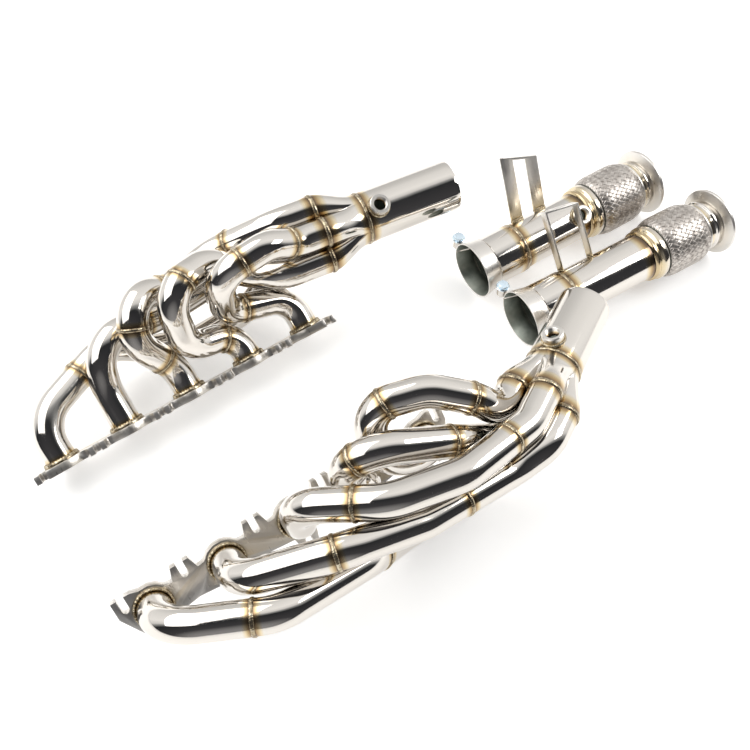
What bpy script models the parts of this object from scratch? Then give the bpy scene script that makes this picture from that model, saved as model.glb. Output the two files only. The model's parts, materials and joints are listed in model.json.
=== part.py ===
"""Racing exhaust system: two five-into-one headers and two flexible link pipes.

Every route and size is in millimetres in one layout frame: X runs along the
header flanges towards the outlets, Y across, Z up from the surface that the
four sections lie on. LAYOUT_SHIFT moves the set onto its origin, and MM turns
it into metres as each mesh is made.
"""
import math

import bmesh
import bpy
from mathutils import Matrix, Vector

MM = 0.001
GAP = 0.3                      # clearance left between touching pieces
LAYOUT_SHIFT = Vector((-503.5, 122.1, -0.36))

# Tube sizes
PRIMARY_OD = 42.4
OUTLET_OD = 76.2
TUBE_WALL = 2.0
PRIMARY_SIDES = 12
OUTLET_SIDES = 24
BEND_STEP = math.radians(25)   # largest turn between two rings of a bend

# Header flange
PORT_PITCH = 98.0
PORT_COUNT = 5
FLANGE_THICKNESS = 12.0
FLANGE_BOSS_RADIUS = 28.0
FLANGE_ENDS = (-40.0, 432.0)   # along the line of ports, from the first port
STUD_SLOT_WIDTH = 9.0
UPPER_STUDS = (-28.0, 49.0, 147.0, 245.0, 343.0, 420.0)
UPPER_TAB_TIP = 31.0
UPPER_SLOT_FLOOR = 11.0
LOWER_STUD_OFFSET = 2.0        # lower studs stand beneath the ports
LOWER_TAB_TIP = 40.0
LOWER_SLOT_FLOOR = 28.5
TAB_HALF_WIDTH = 12.0

# Merge collector
LOBE_RADIUS = 37.8             # centres of the five runners about the collector axis
COLLECTOR_LENGTH = 68.0

# Oxygen sensor bungs
BUNG_OD = 30.0
BUNG_BORE = 18.0
BUNG_HEIGHT = 12.0

# Link pipes
SOCKET_OD = 81.0
SOCKET_MOUTH_OD = 92.0         # the socket flares towards its mouth
SOCKET_MOUTH_BORE = 88.0
SOCKET_FLARE = 20.0
SOCKET_LENGTH = 29.0
SOCKET_SLOT = (3.0, 24.0)      # width, length
EXPANDED_END = 79.0            # the pipe is expanded to slip over the outlet up to here
EXPANDED_TAPER = 5.0
COLLAR_OD = 89.0
COLLAR_STEP_OD = 84.0
COLLAR_LENGTH = 26.0
REAR_COLLAR_OD = 86.0
BRAID_OD = 101.0
BRAID_LENGTH = 80.0
BELLOWS_OD = 90.0
BELLOWS_RIBS = 5
LINER_OD = 72.0
REAR_COLLAR_LENGTH = 8.0
OUTLET_FLANGE_OD = 108.0
OUTLET_FLANGE_LENGTH = 10.0
CLAMP_BOLT_DIAMETER = 8.0
CLAMP_BOLT_HEAD = 21.0
CLAMP_HEIGHT = 7.0             # middle of the ear above the pipe's axis
EAR_RADIUS = 8.0
HANGER_SLOT = (24.0, 4.5)      # length, width in a strip hanger's top bar

POLISHED = ("stainless_polished", (0.78, 0.75, 0.71), 0.12)
BRUSHED = ("stainless_brushed", (0.62, 0.60, 0.57), 0.34)
BRAIDED = ("stainless_braid", (0.60, 0.58, 0.56), 0.40)
ZINC = ("zinc_plated_steel", (0.74, 0.80, 0.84), 0.28)
MATERIALS = (POLISHED, BRUSHED, BRAIDED, ZINC)

# Corner points of the runners between the port stub and the collector stub, with
# the bend radius at every corner from the port stub's end to the collector stub's start.
LEFT = {
    "name": "left",
    "first_port": Vector((0.0, 0.0, 42.0)),
    "normal": Vector((0.0, 0.82, 0.57)).normalized(),
    "inlet": Vector((463.0, 61.0, 150.0)),
    "axis": Vector((0.991, -0.131, 0.0)).normalized(),
    "outlet_length": 147.0,
    "bung": (20.0, 116.0),     # distance past the collector weld, angle about the axis
    "runners": (
        dict(lobe=271, stub=62, lead=45, weld=138,
             corners=((124, 118, 72), (180, 97, 45), (250, 88, 21.3), (335, 92, 21.3), (395, 88, 75)),
             radii=(60, 60, 60, 60, 55, 55, 55)),
        dict(lobe=343, stub=56, lead=50, weld=190,
             corners=((116, 94, 128), (205, 112, 84), (345, 142, 60)),
             radii=(80, 50, 60, 60, 60)),
        dict(lobe=55, stub=40, lead=60, weld=132,
             corners=((160, 55, 128), (184, 98, 172), (240, 116, 126), (325, 139, 128)),
             radii=(60, 45, 42, 50, 60, 60)),
        dict(lobe=199, stub=44, lead=70, weld=216,
             corners=((220, 28, 98), (224, 60, 196), (300, 95, 170), (345, 80, 124)),
             radii=(40, 42, 42, 55, 50, 60)),
        dict(lobe=127, stub=52, lead=40, weld=259,
             corners=((292, 50, 104), (292, 38, 200), (372, 42, 208)),
             radii=(42, 42, 42, 45, 45)),
    ),
}
RIGHT = {
    "name": "right",
    "first_port": Vector((21.0, -272.0, 100.0)),
    "normal": Vector((0.0, -0.67, 0.742)).normalized(),
    "inlet": Vector((551.0, -325.0, 133.0)),
    "axis": Vector((0.875, 0.462, -0.11)).normalized(),
    "outlet_length": 126.0,
    "bung": (18.0, 68.0),
    "runners": (
        dict(lobe=244, stub=64, lead=50, weld=156,
             corners=((137, -375, 152), (262, -368, 105), (345, -345, 21.3), (450, -350, 21.3)),
             radii=(60, 60, 60, 60, 60, 55)),
        dict(lobe=172, stub=68, lead=50, weld=180,
             corners=((228, -364, 188), (333, -381, 160), (473, -381, 134)),
             radii=(50, 70, 80, 80, 60)),
        dict(lobe=100, stub=24, lead=55, weld=151,
             corners=((211, -288, 186), (300, -352, 209), (395, -370, 198)),
             radii=(42, 42, 80, 80, 64)),
        dict(lobe=316, stub=27, lead=55, weld=112,
             corners=((240, -264, 198), (340, -296, 204), (424, -324, 173)),
             radii=(34, 38, 60, 50, 50)),
        dict(lobe=28, stub=50, lead=45, weld=184,
             corners=((346, -288, 134), (336, -230, 198), (420, -260, 209), (470, -297, 191)),
             radii=(32, 34, 38, 60, 55, 44)),
    ),
}
LINKS = (
    dict(name="link_1", inlet=Vector((665.0, -58.0, 46.5)), outlet=Vector((1009.0, -72.0, 54.6)),
         pipe_end=205.5, bung=(190.0, 124.0), clamp=(10.0, 54.0),
         strap=dict(at=132.0, foot=(0.88, 0.47), lift=1.2, lean=(0.47, 0.88), width=66.0,
                    heights=(110.0, 87.0), leg=22.0, bar=5.0, thick=3.0, slotted=False)),
    dict(name="link_2", inlet=Vector((670.0, -172.0, 46.5)), outlet=Vector((1043.0, -198.0, 54.6)),
         pipe_end=227.5, bung=None, clamp=(3.0, 55.0),
         strap=dict(at=119.0, foot=(0.76, 0.65), lift=0.5, lean=(0.68, 0.74), width=58.0,
                    heights=(96.0, 88.0), leg=3.0, bar=3.0, thick=15.0, slotted=True)),
)


def clear_scene():
    for item in list(bpy.data.objects):
        bpy.data.objects.remove(item, do_unlink=True)


def make_materials():
    made = {}
    for name, colour, roughness in MATERIALS:
        material = bpy.data.materials.new(name)
        material.use_nodes = True
        shader = material.node_tree.nodes["Principled BSDF"]
        shader.inputs["Base Color"].default_value = (*colour, 1.0)
        shader.inputs["Metallic"].default_value = 1.0
        shader.inputs["Roughness"].default_value = roughness
        made[name] = material
    return made


def add_object(name, bm, finish, smooth=True, origin=None):
    """Link a mesh drawn in layout millimetres as a metre-sized object."""
    bmesh.ops.recalc_face_normals(bm, faces=bm.faces)
    pivot = (origin or Vector((0, 0, 0)) - LAYOUT_SHIFT) + LAYOUT_SHIFT
    bmesh.ops.transform(bm, matrix=Matrix.Translation(LAYOUT_SHIFT - pivot), verts=bm.verts)
    bmesh.ops.scale(bm, vec=(MM, MM, MM), verts=bm.verts)
    mesh = bpy.data.meshes.new(name)
    bm.to_mesh(mesh)
    bm.free()
    if smooth:
        mesh.shade_smooth()
        mesh.set_sharp_from_angle(angle=math.radians(35))
    item = bpy.data.objects.new(name, mesh)
    item.location = pivot * MM
    if finish:
        mesh.materials.append(bpy.data.materials[finish[0]])
    bpy.context.scene.collection.objects.link(item)
    return item


def cut(item, cutter):
    """Take a hidden cutter's shape out of an object."""
    cutter.hide_render = True
    cutter.display_type = "WIRE"
    boolean = item.modifiers.new(cutter.name, "BOOLEAN")
    boolean.operation = "DIFFERENCE"
    boolean.solver = "EXACT"
    boolean.object = cutter


def frame_about(axis):
    """Two unit vectors square to an axis: level across it, and up."""
    level = Vector((0, 0, 1)).cross(axis).normalized()
    return level, axis.cross(level).normalized()


def ring_vertices(bm, centre, level, up, radius, sides):
    turns = (2 * math.pi * k / sides for k in range(sides))
    return [bm.verts.new(centre + (level * math.cos(t) + up * math.sin(t)) * radius) for t in turns]


def skin(bm, loops, close):
    """Join equal rings of vertices, and the last to the first when they close."""
    pairs = list(zip(loops, loops[1:]))
    if close:
        pairs.append((loops[-1], loops[0]))
    for first, second in pairs:
        count = len(first)
        for k in range(count):
            follow = (k + 1) % count
            bm.faces.new((first[k], first[follow], second[follow], second[k]))


def turned(bm, start, axis, profile, sides):
    """Closed ring of revolution: the profile holds (distance, radius) pairs."""
    level, up = frame_about(axis)
    loops = [ring_vertices(bm, start + axis * along, level, up, radius, sides) for along, radius in profile]
    skin(bm, loops, close=True)


def turned_object(name, start, axis, profile, finish, sides=OUTLET_SIDES):
    bm = bmesh.new()
    turned(bm, start, axis, profile, sides)
    return add_object(name, bm, finish)


def pipe_profile(begin, end, outer, inner):
    return ((begin, outer / 2), (end, outer / 2), (end, inner / 2), (begin, inner / 2))


def rounded_route(corners, radii):
    """Centre line through the corners, with an arc of the given radius at each inner one."""
    points = [corners[0]]
    for before, corner, after, radius in zip(corners, corners[1:], corners[2:], radii):
        back = (before - corner).normalized()
        onward = (after - corner).normalized()
        inside = back.angle(onward)
        turn = math.pi - inside
        centre = corner + (back + onward).normalized() * radius / math.sin(inside / 2)
        start = corner + back * radius / math.tan(inside / 2) - centre
        end = corner + onward * radius / math.tan(inside / 2) - centre
        steps = max(1, math.ceil(turn / BEND_STEP))
        for k in range(steps + 1):
            share = k / steps
            spread = (start * math.sin((1 - share) * turn) + end * math.sin(share * turn)) / math.sin(turn)
            points.append(centre + spread)
    points.append(corners[-1])
    return points


def route_length(points):
    return sum((b - a).length for a, b in zip(points, points[1:]))


def stretch(points, begin, end):
    """The part of a route between two distances along it."""
    kept = []
    done = 0.0
    for a, b in zip(points, points[1:]):
        step = (b - a).length
        for mark in (begin, end):
            if done <= mark <= done + step:
                kept.append((mark, a.lerp(b, (mark - done) / step)))
        if begin + 1 < done + step < end - 1:
            kept.append((done + step, b))
        done += step
    kept.sort(key=lambda pair: pair[0])
    return [point for _, point in kept]


def swept_tube(bm, points, outer, inner, sides):
    """Hollow tube along a route, its rings carried along without twist."""
    directions = [(b - a).normalized() for a, b in zip(points, points[1:])]
    level, _ = frame_about(directions[0] if abs(directions[0].z) < 0.99 else Vector((1, 0, 0)))
    outside, inside = [], []
    for k, point in enumerate(points):
        before = directions[max(k - 1, 0)]
        after = directions[min(k, len(directions) - 1)]
        tangent = (before + after).normalized()
        level = (level - tangent * level.dot(tangent)).normalized()
        up = tangent.cross(level)
        outside.append(ring_vertices(bm, point, level, up, outer / 2, sides))
        inside.append(ring_vertices(bm, point, level, up, inner / 2, sides))
    skin(bm, outside + inside[::-1], close=True)


def port_point(header, index, out=0.0):
    return header["first_port"] + Vector((PORT_PITCH * index, 0, 0)) + header["normal"] * out


def lobe_point(header, angle, back=0.0):
    level, up = frame_about(header["axis"])
    turn = math.radians(angle)
    spoke = (level * math.cos(turn) + up * math.sin(turn)) * LOBE_RADIUS
    return header["inlet"] + spoke - header["axis"] * back


def studded_tab(stud, tip, slot_floor):
    """Tab corners and the open-ended slot for one stud, from left to right."""
    half_slot = STUD_SLOT_WIDTH / 2
    turns = (math.radians(a) for a in (0, 30, 60, 90, 120, 150, 180))
    slot = [(-half_slot * math.cos(t), slot_floor + half_slot - half_slot * math.sin(t)) for t in turns]
    tab = [(-TAB_HALF_WIDTH, tip), (-half_slot, tip), *slot, (half_slot, tip), (TAB_HALF_WIDTH, tip)]
    return [(stud + u, v) for u, v in tab]


def flange_outline():
    """Scalloped outline, port line along u: studded tabs between round port bosses."""
    left, right = FLANGE_ENDS
    upper = []
    for k, stud in enumerate(UPPER_STUDS):
        upper += studded_tab(stud, UPPER_TAB_TIP, UPPER_SLOT_FLOOR)
        if k < PORT_COUNT:
            centre = PORT_PITCH * k
            begin, end = stud + TAB_HALF_WIDTH + 2, UPPER_STUDS[k + 1] - TAB_HALF_WIDTH - 2
            turns = (math.radians(a) for a in range(145, 30, -22))
            arc = [(centre + FLANGE_BOSS_RADIUS * math.cos(t), FLANGE_BOSS_RADIUS * math.sin(t)) for t in turns]
            if k:
                upper.append((stud + TAB_HALF_WIDTH + 5, 15.0))
            upper += [(u, v) for u, v in arc if begin < u < end]
            if k < PORT_COUNT - 1:
                upper.append((UPPER_STUDS[k + 1] - TAB_HALF_WIDTH - 5, 15.0))
    lower = [(left, -8.0), (left + 16, 22.0), (left + 30, 28.0)]
    for k in range(PORT_COUNT):
        stud = LOWER_STUD_OFFSET + PORT_PITCH * k
        lower += studded_tab(stud, LOWER_TAB_TIP, LOWER_SLOT_FLOOR)
        if k < PORT_COUNT - 1:
            lower += [(stud + 16, 24.0), (stud + PORT_PITCH / 2, 20.0), (stud + PORT_PITCH - 16, 24.0)]
    lower += [(right - 26, 28.0), (right - 14, 22.0), (right, -8.0)]
    return upper + [(u, -v) for u, v in reversed(lower)]


def add_flange(header):
    normal = header["normal"]
    across = Vector((1, 0, 0))
    upward = Vector((0, -normal.z * math.copysign(1, normal.y), abs(normal.y)))
    outline = flange_outline()
    bm = bmesh.new()
    base = header["first_port"] - normal * FLANGE_THICKNESS
    face = bm.faces.new([bm.verts.new(base + across * u + upward * v) for u, v in outline])
    grown = bmesh.ops.extrude_face_region(bm, geom=[face])
    lifted = [piece for piece in grown["geom"] if isinstance(piece, bmesh.types.BMVert)]
    bmesh.ops.translate(bm, vec=normal * FLANGE_THICKNESS, verts=lifted)
    bmesh.ops.triangulate(bm, faces=[f for f in bm.faces if len(f.verts) > 4])
    flange = add_object(f"{header['name']}_flange", bm, BRUSHED, smooth=False)
    bores = bmesh.new()
    for index in range(PORT_COUNT):
        level, up = frame_about(normal)
        begin = port_point(header, index, -FLANGE_THICKNESS - 5)
        end = port_point(header, index, 5)
        rings = [ring_vertices(bores, p, level, up, PRIMARY_OD / 2 - TUBE_WALL, 20) for p in (begin, end)]
        skin(bores, rings, close=False)
        bores.faces.new(rings[0])
        bores.faces.new(rings[1][::-1])
    cut(flange, add_object(f"cut_{header['name']}_ports", bores, None, smooth=False))


def weld_station(points, wanted):
    """Distance along a route near the wanted one, clear of the joins in its straight steps."""
    done = 0.0
    for a, b in zip(points, points[1:]):
        step = (b - a).length
        if done <= wanted <= done + step:
            clear = min(8.0, step / 2)
            return min(max(wanted, done + clear), done + step - clear)
        done += step
    return done / 2


def runner_route(header, index):
    runner = header["runners"][index]
    corners = [port_point(header, index, GAP), port_point(header, index, runner["stub"])]
    corners += [Vector(corner) for corner in runner["corners"]]
    corners += [lobe_point(header, runner["lobe"], runner["lead"]), lobe_point(header, runner["lobe"], GAP)]
    return rounded_route(corners, runner["radii"])


def add_runners(header):
    """Each runner is two tubes that meet at a weld: the port bend and the run to the collector."""
    for index, runner in enumerate(header["runners"]):
        route = runner_route(header, index)
        weld = weld_station(route, runner["weld"])
        spans = (("port_bend", 0.0, weld - GAP / 2), ("collector_run", weld + GAP / 2, route_length(route)))
        for part, begin, end in spans:
            bm = bmesh.new()
            swept_tube(bm, stretch(route, begin, end), PRIMARY_OD, PRIMARY_OD - 2 * TUBE_WALL, PRIMARY_SIDES)
            add_object(f"{header['name']}_runner_{index + 1}_{part}", bm, POLISHED)


def lobed_radius(turn, lobe_angles, tube_radius):
    """Distance from the collector axis to the envelope of the five tubes in one direction."""
    apart = min(abs((math.degrees(turn) - a + 180) % 360 - 180) for a in lobe_angles)
    off = LOBE_RADIUS * math.sin(math.radians(apart))
    reach = math.sqrt(max(tube_radius ** 2 - off ** 2, 0.0))
    return LOBE_RADIUS * math.cos(math.radians(apart)) + reach


def add_collector(header):
    """Clover-shaped at the five runners, round at the outlet, and open through."""
    axis = header["axis"]
    level, up = frame_about(axis)
    angles = [runner["lobe"] for runner in header["runners"]]
    sides = 40
    first = math.radians(angles[0])
    stations = (0.0, 0.2, 0.4, 0.6, 0.8, 1.0)
    loops = []
    for wall in (0.0, TUBE_WALL):
        shell = []
        for share in stations:
            ease = share * share * (3 - 2 * share)
            loop = []
            for k in range(sides):
                turn = first + 2 * math.pi * k / sides
                lobed = lobed_radius(turn, angles, PRIMARY_OD / 2 - wall)
                radius = lobed * (1 - ease) + (OUTLET_OD / 2 - wall) * ease
                spoke = level * math.cos(turn) + up * math.sin(turn)
                loop.append(header["inlet"] + axis * COLLECTOR_LENGTH * share + spoke * radius)
            shell.append(loop)
        loops += shell if not wall else shell[::-1]
    bm = bmesh.new()
    skin(bm, [[bm.verts.new(point) for point in loop] for loop in loops], close=True)
    add_object(f"{header['name']}_merge_collector", bm, POLISHED)


def add_bung(name, pipe, foot, outward, pipe_axis, pipe_radius):
    """Threaded boss saddled on a pipe, with its bore through the pipe wall."""
    ring = ((-6.0, BUNG_OD / 2), (BUNG_HEIGHT, BUNG_OD / 2), (BUNG_HEIGHT, BUNG_BORE / 2), (-6.0, BUNG_BORE / 2))
    bung = turned_object(name, foot, outward, ring, BRUSHED, sides=24)
    saddle = bmesh.new()
    level, up = frame_about(pipe_axis)
    centre = foot - outward * pipe_radius
    rings = [ring_vertices(saddle, centre + pipe_axis * d, level, up, pipe_radius + GAP, 48) for d in (-40, 40)]
    skin(saddle, rings, close=False)
    saddle.faces.new(rings[0])
    saddle.faces.new(rings[1][::-1])
    cut(bung, add_object(f"cut_{name}_saddle", saddle, None, smooth=False))
    bore = bmesh.new()
    level, up = frame_about(outward)
    rings = [ring_vertices(bore, foot + outward * d, level, up, BUNG_BORE / 2, 24) for d in (-15, 10)]
    skin(bore, rings, close=False)
    bore.faces.new(rings[0])
    bore.faces.new(rings[1][::-1])
    cut(pipe, add_object(f"cut_{name}_bore", bore, None, smooth=False))


def add_outlet(header):
    axis = header["axis"]
    level, up = frame_about(axis)
    weld = header["inlet"] + axis * COLLECTOR_LENGTH
    profile = pipe_profile(GAP, header["outlet_length"], OUTLET_OD, OUTLET_OD - 2 * TUBE_WALL)
    pipe = turned_object(f"{header['name']}_outlet_pipe", weld, axis, profile, POLISHED)
    along, angle = header["bung"]
    turn = math.radians(angle)
    outward = (level * math.cos(turn) + up * math.sin(turn)).normalized()
    foot = weld + axis * along + outward * OUTLET_OD / 2
    add_bung(f"{header['name']}_oxygen_sensor_bung", pipe, foot, outward, axis, OUTLET_OD / 2)


def add_header(header):
    add_flange(header)
    add_runners(header)
    add_collector(header)
    add_outlet(header)


def box_between(bm, centre, axes, size):
    """Block of the given size about a centre, along three unit axes."""
    turn = Matrix(axes).transposed().to_4x4()
    place = Matrix.Translation(centre) @ turn @ Matrix.Diagonal((*size, 1.0))
    bmesh.ops.create_cube(bm, size=1.0, matrix=place)


def add_socket(link, axis, level, up):
    """Flared slip socket with a slot that lets the clamp bolt close it on the outlet pipe."""
    fit = OUTLET_OD / 2 + GAP
    rear = SOCKET_LENGTH - GAP
    profile = ((0.0, SOCKET_MOUTH_OD / 2), (rear, SOCKET_OD / 2), (rear, fit), (SOCKET_FLARE, fit),
               (0.0, SOCKET_MOUTH_BORE / 2))
    socket = turned_object(f"{link['name']}_slip_socket", link["inlet"], axis, profile, BRUSHED)
    width, length = SOCKET_SLOT
    slot = bmesh.new()
    middle = link["inlet"] + axis * (length / 2 - 5) + level * 50
    box_between(slot, middle, (axis, level, up), (length + 10, 100, width))
    cut(socket, add_object(f"cut_{link['name']}_slot", slot, None, smooth=False))


def add_clamp_bolt(link, axis, level, up):
    """The bolt stands square to the pipe in the ear welded beside the socket's mouth."""
    shank = CLAMP_BOLT_DIAMETER / 2
    head = CLAMP_BOLT_HEAD / 2
    ear = pipe_profile(-9.0, 9.0, 2 * EAR_RADIUS, CLAMP_BOLT_DIAMETER + 2 * GAP)
    bolt = ((-14.0, shank), (9.0 + GAP, shank), (9.0 + GAP, head), (15.5, head))
    along, beside = link["clamp"]
    middle = link["inlet"] + axis * along + level * beside + up * CLAMP_HEIGHT
    turned_object(f"{link['name']}_clamp_ear", middle, up, ear, BRUSHED, sides=16)
    bm = bmesh.new()
    loops = [ring_vertices(bm, middle + up * z, level, axis, radius, 12) for z, radius in bolt]
    skin(bm, loops, close=False)
    bm.faces.new(loops[0])
    bm.faces.new(loops[-1][::-1])
    add_object(f"{link['name']}_clamp_bolt", bm, ZINC, origin=middle)


def add_hoop(name, foot, along, lean, thick, outline):
    """Hanger hoop: a flat outline in the plane of the pipe and its lean, given its thickness."""
    bm = bmesh.new()
    base = foot - thick / 2
    hoop = bm.faces.new([bm.verts.new(base + along * u + lean * v) for u, v in outline])
    grown = bmesh.ops.extrude_face_region(bm, geom=[hoop])
    lifted = [piece for piece in grown["geom"] if isinstance(piece, bmesh.types.BMVert)]
    bmesh.ops.translate(bm, vec=thick, verts=lifted)
    bmesh.ops.triangulate(bm, faces=[f for f in bm.faces if len(f.verts) > 4])
    return add_object(name, bm, BRUSHED, smooth=False)


def hoop_outline(strap):
    """Two legs of their own heights under a sloping top bar."""
    half = strap["width"] / 2
    near, far = strap["heights"]
    leg, bar = strap["leg"], strap["bar"]
    slope = (far - near) / strap["width"]
    near_under = near + slope * leg - bar
    far_under = far - slope * leg - bar
    return ((-half, 0), (-half, near), (half, far), (half, 0),
            (half - leg, 0), (half - leg, far_under), (-half + leg, near_under), (-half + leg, 0))


def add_strap(link, axis, level, up):
    """The first link's hanger is cut from plate, the second's bent from slotted strip."""
    strap = link["strap"]
    outward = (level * strap["foot"][0] + up * strap["foot"][1]).normalized()
    lean = (level * strap["lean"][0] + up * strap["lean"][1]).normalized()
    across = lean.cross(axis).normalized()
    foot = link["inlet"] + axis * strap["at"] + outward * (OUTLET_OD / 2 + strap["lift"])
    outline = hoop_outline(strap)
    hoop = add_hoop(f"{link['name']}_hanger_strap", foot, axis, lean, across * strap["thick"], outline)
    if strap["slotted"]:
        slot = bmesh.new()
        middle = foot + lean * sum(strap["heights"]) / 2
        box_between(slot, middle, (axis, across, lean), (*HANGER_SLOT, 20))
        cut(hoop, add_object(f"cut_{link['name']}_hanger_slot", slot, None, smooth=False))


def bellows_profile(begin, end):
    """Outer ribs and the matching inner wall of the convoluted bellows."""
    crest, root = BELLOWS_OD / 2, OUTLET_OD / 2 + 1.0
    pitch = (end - begin) / (2 * BELLOWS_RIBS)
    outer = [(begin + pitch * k, crest if k % 2 else root) for k in range(2 * BELLOWS_RIBS + 1)]
    inner = [(along, radius - 1.6) for along, radius in outer[::-1]]
    return outer + inner


def add_flex(link, axis):
    """Front collar, liner, bellows and braid of the flexible coupling, then the outlet end."""
    name, start = link["name"], link["inlet"]
    front = link["pipe_end"] + GAP
    begin = front + COLLAR_LENGTH
    end = begin + BRAID_LENGTH
    total = (link["outlet"] - link["inlet"]).length
    step = front + COLLAR_LENGTH * 0.45
    collar = ((front, 38.1), (front + 2, COLLAR_STEP_OD / 2), (step - 2, COLLAR_STEP_OD / 2), (step, COLLAR_OD / 2),
              (begin - GAP, COLLAR_OD / 2), (begin - GAP, 36.1), (front, 36.1))
    turned_object(f"{name}_flex_front_collar", start, axis, collar, POLISHED)
    shift = 6.0
    turned_object(f"{name}_flex_liner", start, axis,
                  pipe_profile(begin, end - shift, LINER_OD, LINER_OD - 3), BRUSHED, sides=20)
    turned_object(f"{name}_flex_bellows", start, axis,
                  bellows_profile(begin + 2, end - 2), BRUSHED, sides=18)
    skin_radius = BRAID_OD / 2
    outer = ((begin, 44.5), (begin + 7, skin_radius - 3), (begin + 18, skin_radius), (end - 18, skin_radius),
             (end - 7, skin_radius - 3), (end, 44.5))
    inner = tuple((along, radius - 2.2 if radius > 45 else radius - 1.8) for along, radius in outer[::-1])
    inner = tuple((along, max(radius, 45.6)) if begin < along < end else (along, 42.7) for along, radius in inner)
    turned_object(f"{name}_flex_braid", start, axis, outer + inner, BRAIDED)
    rear = end + GAP
    neck = rear + REAR_COLLAR_LENGTH
    flare = total - OUTLET_FLANGE_LENGTH
    turned_object(f"{name}_flex_rear_collar", start, axis,
                  pipe_profile(rear, neck - GAP, REAR_COLLAR_OD, 72.2), BRUSHED)
    turned_object(f"{name}_outlet_neck", start, axis,
                  pipe_profile(neck, flare - GAP, OUTLET_OD, OUTLET_OD - 2 * TUBE_WALL), POLISHED)
    flange = ((flare, 40.0), (flare + 5.5, OUTLET_FLANGE_OD / 2 - 1.5), (flare + 7, OUTLET_FLANGE_OD / 2),
              (total, OUTLET_FLANGE_OD / 2), (total, 37.5), (flare, 36.1))
    turned_object(f"{name}_outlet_flange", start, axis, flange, BRUSHED)


def add_link(link):
    axis = (link["outlet"] - link["inlet"]).normalized()
    level, up = frame_about(axis)
    add_socket(link, axis, level, up)
    fit, outer, inner = OUTLET_OD / 2 + GAP, OUTLET_OD / 2, OUTLET_OD / 2 - TUBE_WALL
    shoulder = EXPANDED_END + EXPANDED_TAPER
    profile = ((SOCKET_LENGTH, SOCKET_OD / 2), (EXPANDED_END, SOCKET_OD / 2), (shoulder, outer),
               (link["pipe_end"], outer), (link["pipe_end"], inner), (shoulder, inner), (EXPANDED_END, fit),
               (SOCKET_LENGTH, fit))
    pipe = turned_object(f"{link['name']}_pipe", link["inlet"], axis, profile, POLISHED)
    if link["bung"]:
        along, angle = link["bung"]
        turn = math.radians(angle)
        outward = (level * math.cos(turn) + up * math.sin(turn)).normalized()
        foot = link["inlet"] + axis * along + outward * OUTLET_OD / 2
        add_bung(f"{link['name']}_oxygen_sensor_bung", pipe, foot, outward, axis, OUTLET_OD / 2)
    add_clamp_bolt(link, axis, level, up)
    add_strap(link, axis, level, up)
    add_flex(link, axis)


def build():
    clear_scene()
    make_materials()
    for header in (LEFT, RIGHT):
        add_header(header)
    for link in LINKS:
        add_link(link)


build()
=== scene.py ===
import json
import math
import bpy
from mathutils import Matrix, Vector


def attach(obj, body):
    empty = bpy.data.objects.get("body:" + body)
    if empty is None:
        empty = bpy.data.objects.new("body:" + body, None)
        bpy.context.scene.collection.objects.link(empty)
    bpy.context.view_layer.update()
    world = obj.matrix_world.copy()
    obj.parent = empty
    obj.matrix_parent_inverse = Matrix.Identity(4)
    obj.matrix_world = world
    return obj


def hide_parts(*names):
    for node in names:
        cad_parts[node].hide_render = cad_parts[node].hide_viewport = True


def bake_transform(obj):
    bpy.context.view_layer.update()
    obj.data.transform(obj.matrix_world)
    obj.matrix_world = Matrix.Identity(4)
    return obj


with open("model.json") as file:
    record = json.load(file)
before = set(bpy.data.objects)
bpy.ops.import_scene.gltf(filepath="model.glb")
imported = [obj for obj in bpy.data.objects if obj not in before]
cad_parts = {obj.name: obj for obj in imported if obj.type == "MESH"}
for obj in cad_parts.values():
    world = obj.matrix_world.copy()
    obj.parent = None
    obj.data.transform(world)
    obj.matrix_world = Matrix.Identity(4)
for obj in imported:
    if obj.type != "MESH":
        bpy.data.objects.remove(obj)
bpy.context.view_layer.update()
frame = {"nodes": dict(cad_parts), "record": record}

mm = 0.001
layoutShift = Vector((-503.5, 122.1, -0.36))  # from the flange layout to the set's own origin

bodyOf = {}
for bodyName, nodeNames in frame["record"]["behaviour"]["bodies"].items():
    for nodeName in nodeNames:
        bodyOf[nodeName] = bodyName


def deselectAll():
    if bpy.context.object and bpy.context.object.mode != "OBJECT":
        bpy.ops.object.mode_set(mode="OBJECT")
    bpy.ops.object.select_all(action="DESELECT")


def pick(piece):
    deselectAll()
    piece.select_set(True)
    bpy.context.view_layer.objects.active = piece


def applyModifiers(piece):
    pick(piece)
    for modifier in list(piece.modifiers):
        bpy.ops.object.modifier_apply(modifier=modifier.name)


def applyPlace(piece):
    pick(piece)
    bpy.ops.object.transform_apply(location=True, rotation=True, scale=True)


def finishPiece(piece, nodes, body=None):
    # the piece stands for its CAD nodes and moves with their body
    if nodes:
        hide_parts(*nodes)
    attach(piece, body or bodyOf[nodes[0]])
    return piece


def toWorld(point):
    return (Vector(point) + layoutShift) * mm


def hexColour(value):
    channels = [int(value[k:k + 2], 16) / 255 for k in (1, 3, 5)]
    linear = [c / 12.92 if c <= 0.04045 else ((c + 0.055) / 1.055) ** 2.4 for c in channels]
    return (*linear, 1.0)


def addNode(tree, kind, settings=None, inputs=None):
    # inputs hold a socket to link from, or a plain value
    node = tree.nodes.new(kind)
    for key, value in (settings or {}).items():
        setattr(node, key, value)
    for key, value in (inputs or {}).items():
        if isinstance(value, bpy.types.NodeSocket):
            tree.links.new(value, node.inputs[key])
        else:
            node.inputs[key].default_value = value
    return node


def newMaterial(name):
    material = bpy.data.materials.new(name)
    material.use_nodes = True
    shader = material.node_tree.nodes["Principled BSDF"]
    shader.inputs["Metallic"].default_value = 1.0
    return material, material.node_tree, shader


def setRamp(node, stops):
    ramp = node.color_ramp
    while len(ramp.elements) < len(stops):
        ramp.elements.new(1.0)
    for element, (place, colour) in zip(ramp.elements, stops):
        element.position = place
        element.color = colour if len(colour) == 4 else (*colour, 1.0)


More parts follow.
